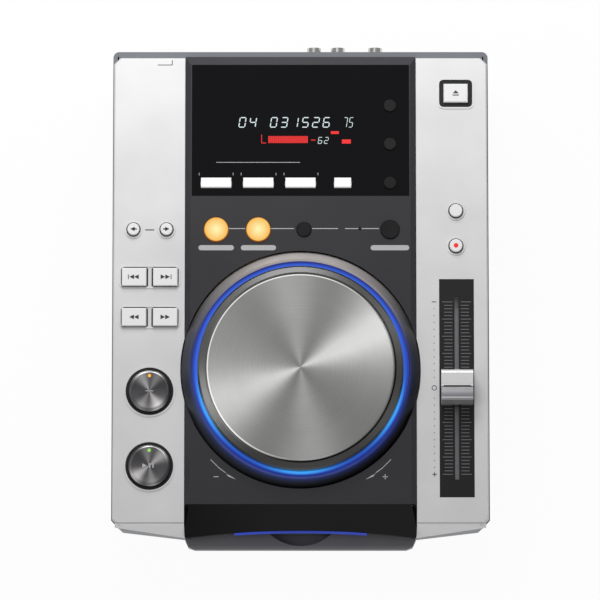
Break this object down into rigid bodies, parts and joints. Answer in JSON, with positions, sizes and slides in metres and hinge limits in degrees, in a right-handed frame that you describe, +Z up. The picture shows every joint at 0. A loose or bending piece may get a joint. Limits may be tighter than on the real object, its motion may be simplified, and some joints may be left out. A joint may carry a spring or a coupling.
{
  "type": "tabletop disc player",
  "caption": "Tabletop disc player for mixing, with a front disc slot, a large jog wheel, a tempo fader and push buttons beside a raised deck.",
  "frame": {"origin": "centre of the overall box on the surface that the feet stand on", "axes": "+X to the right, +Y to the rear with the jacks, +Z up"},
  "size_m": [0.2178, 0.2992, 0.1058],
  "materials": {
    "zinc_steel": "zinc plated",
    "case_grey": "fine moulded texture",
    "deck_grey": "fine texture",
    "silver_paint": "fine metallic silver",
    "gloss_window": "polished",
    "gloss_black": "polished",
    "blue_light": "lit from inside",
    "felt": "short pile",
    "bezel_black": "satin",
    "machine_steel": "turned",
    "rim_grey": "satin",
    "brushed_disc": "circular brushed",
    "rubber": "matte",
    "board_green": "solder mask",
    "tube_glass": "smooth",
    "black_plastic": "fine texture",
    "cap_silver": "satin silver",
    "black_steel": "powder coated",
    "jack_metal": "nickel plated",
    "spun_cap": "spun dark metal",
    "button_silver": "satin silver",
    "button_white": "satin",
    "button_black": "satin",
    "button_amber": "lit from inside"
  },
  "bodies": {
    "root": {"bottom_chassis": "zinc_steel", "lower_case": "case_grey", "center_deck": "deck_grey", "left_top_panel": "silver_paint", "right_top_panel": "silver_paint", "display_window": "gloss_window", "front_fascia": "gloss_black", "slot_light_guide": "blue_light", "lower_lip": "deck_grey", "slot_felts": "felt", "jog_bezel_ring": "bezel_black", "jog_light_ring": "blue_light", "jog_post": "machine_steel", "rubber_feet": "rubber", "case_screws": "machine_steel", "main_board": "board_green", "power_supply": "board_green", "display_tube": "tube_glass", "key_boards": "board_green", "button_collars": "black_plastic", "fader_scale_plate": "black_plastic", "fader_unit": "zinc_steel", "rear_panel": "black_steel", "signal_jacks": "jack_metal", "ac_inlet": "black_plastic", "drive_chassis": "zinc_steel", "drive_dampers": "rubber", "drive_motors": "machine_steel"},
    "jog": {"jog_rim": "rim_grey", "jog_disc": "brushed_disc"},
    "fader": {"fader_cap": "cap_silver"},
    "power": {"power_button": "black_plastic"},
    "turntable": {"turntable_hub": "black_plastic"},
    "arm": {"clamp_arm": "zinc_steel"},
    "puck": {"clamp_puck": "black_plastic"},
    "sled": {"pickup_sled": "black_plastic"},
    "screw": {"feed_screw": "machine_steel"},
    "roller": {"loading_roller": "rubber"},
    "cue": {"cue_button": "spun_cap"},
    "play": {"play_button": "spun_cap"},
    "folder_back": {"folder_back_button": "button_silver"},
    "folder_next": {"folder_next_button": "button_silver"},
    "track_back": {"track_back_button": "button_silver"},
    "track_next": {"track_next_button": "button_silver"},
    "search_back": {"search_back_button": "button_silver"},
    "search_next": {"search_next_button": "button_silver"},
    "eject": {"eject_button": "button_silver"},
    "tempo_range": {"tempo_range_button": "button_silver"},
    "master_tempo": {"master_tempo_button": "button_silver"},
    "effect_1": {"effect_1_button": "button_white"},
    "effect_2": {"effect_2_button": "button_white"},
    "effect_3": {"effect_3_button": "button_white"},
    "hold": {"hold_button": "button_white"},
    "text": {"text_button": "button_black"},
    "time": {"time_button": "button_black"},
    "auto_cue": {"auto_cue_button": "button_black"},
    "loop_in": {"loop_in_button": "button_amber"},
    "loop_out": {"loop_out_button": "button_amber"},
    "reloop": {"reloop_button": "button_black"},
    "beat_loop": {"beat_loop_button": "button_black"}
  },
  "joints": [
    {"name": "jog_spin", "type": "hinge", "parent": "root", "child": "jog", "pos_m": [0, -0.0475, 0.1], "axis": [0, 0, 1], "continuous": true},
    {"name": "fader_slide", "type": "slide", "parent": "root", "child": "fader", "axis": [0, 1, 0], "range_m": [-0.05, 0.05]},
    {"name": "power_press", "type": "slide", "parent": "root", "child": "power", "axis": [0, -1, 0], "range_m": [0, 0.003], "stiffness_N_per_m": 200},
    {"name": "turntable_spin", "type": "hinge", "parent": "root", "child": "turntable", "pos_m": [0, -0.056, 0.0753], "axis": [0, 0, 1], "continuous": true},
    {"name": "arm_lift", "type": "hinge", "parent": "root", "child": "arm", "pos_m": [0, 0.012, 0.0769], "axis": [-1, 0, 0], "range_deg": [0, 2]},
    {"name": "puck_spin", "type": "hinge", "parent": "arm", "child": "puck", "pos_m": [0, -0.056, 0.0783], "axis": [0, 0, 1], "continuous": true},
    {"name": "sled_slide", "type": "slide", "parent": "root", "child": "sled", "axis": [0, 1, 0], "range_m": [0, 0.032]},
    {"name": "screw_spin", "type": "hinge", "parent": "root", "child": "screw", "pos_m": [-0.014, 0, 0.0635], "axis": [0, 1, 0], "range_deg": [0, 1925]},
    {"name": "roller_spin", "type": "hinge", "parent": "root", "child": "roller", "pos_m": [0, -0.118, 0.0713], "axis": [1, 0, 0], "continuous": true},
    {"name": "cue_press", "type": "slide", "parent": "root", "child": "cue", "axis": [0, 0, -1], "range_m": [0, 0.001], "stiffness_N_per_m": 300},
    {"name": "play_press", "type": "slide", "parent": "root", "child": "play", "axis": [0, 0, -1], "range_m": [0, 0.001], "stiffness_N_per_m": 300},
    {"name": "folder_back_press", "type": "slide", "parent": "root", "child": "folder_back", "axis": [0, 0, -1], "range_m": [0, 0.001], "stiffness_N_per_m": 300},
    {"name": "folder_next_press", "type": "slide", "parent": "root", "child": "folder_next", "axis": [0, 0, -1], "range_m": [0, 0.001], "stiffness_N_per_m": 300},
    {"name": "track_back_press", "type": "slide", "parent": "root", "child": "track_back", "axis": [0, 0, -1], "range_m": [0, 0.001], "stiffness_N_per_m": 300},
    {"name": "track_next_press", "type": "slide", "parent": "root", "child": "track_next", "axis": [0, 0, -1], "range_m": [0, 0.001], "stiffness_N_per_m": 300},
    {"name": "search_back_press", "type": "slide", "parent": "root", "child": "search_back", "axis": [0, 0, -1], "range_m": [0, 0.001], "stiffness_N_per_m": 300},
    {"name": "search_next_press", "type": "slide", "parent": "root", "child": "search_next", "axis": [0, 0, -1], "range_m": [0, 0.001], "stiffness_N_per_m": 300},
    {"name": "eject_press", "type": "slide", "parent": "root", "child": "eject", "axis": [0, 0, -1], "range_m": [0, 0.001], "stiffness_N_per_m": 300},
    {"name": "tempo_range_press", "type": "slide", "parent": "root", "child": "tempo_range", "axis": [0, 0, -1], "range_m": [0, 0.001], "stiffness_N_per_m": 300},
    {"name": "master_tempo_press", "type": "slide", "parent": "root", "child": "master_tempo", "axis": [0, 0, -1], "range_m": [0, 0.001], "stiffness_N_per_m": 300},
    {"name": "effect_1_press", "type": "slide", "parent": "root", "child": "effect_1", "axis": [0, 0, -1], "range_m": [0, 0.001], "stiffness_N_per_m": 300},
    {"name": "effect_2_press", "type": "slide", "parent": "root", "child": "effect_2", "axis": [0, 0, -1], "range_m": [0, 0.001], "stiffness_N_per_m": 300},
    {"name": "effect_3_press", "type": "slide", "parent": "root", "child": "effect_3", "axis": [0, 0, -1], "range_m": [0, 0.001], "stiffness_N_per_m": 300},
    {"name": "hold_press", "type": "slide", "parent": "root", "child": "hold", "axis": [0, 0, -1], "range_m": [0, 0.001], "stiffness_N_per_m": 300},
    {"name": "text_press", "type": "slide", "parent": "root", "child": "text", "axis": [0, 0, -1], "range_m": [0, 0.001], "stiffness_N_per_m": 300},
    {"name": "time_press", "type": "slide", "parent": "root", "child": "time", "axis": [0, 0, -1], "range_m": [0, 0.001], "stiffness_N_per_m": 300},
    {"name": "auto_cue_press", "type": "slide", "parent": "root", "child": "auto_cue", "axis": [0, 0, -1], "range_m": [0, 0.001], "stiffness_N_per_m": 300},
    {"name": "loop_in_press", "type": "slide", "parent": "root", "child": "loop_in", "axis": [0, 0, -1], "range_m": [0, 0.001], "stiffness_N_per_m": 300},
    {"name": "loop_out_press", "type": "slide", "parent": "root", "child": "loop_out", "axis": [0, 0, -1], "range_m": [0, 0.001], "stiffness_N_per_m": 300},
    {"name": "reloop_press", "type": "slide", "parent": "root", "child": "reloop", "axis": [0, 0, -1], "range_m": [0, 0.001], "stiffness_N_per_m": 300},
    {"name": "beat_loop_press", "type": "slide", "parent": "root", "child": "beat_loop", "axis": [0, 0, -1], "range_m": [0, 0.001], "stiffness_N_per_m": 300}
  ],
  "couplings": [
    {"joint": "screw_spin", "follows": "sled_slide", "rad_per_m": 1047.2}
  ]
}
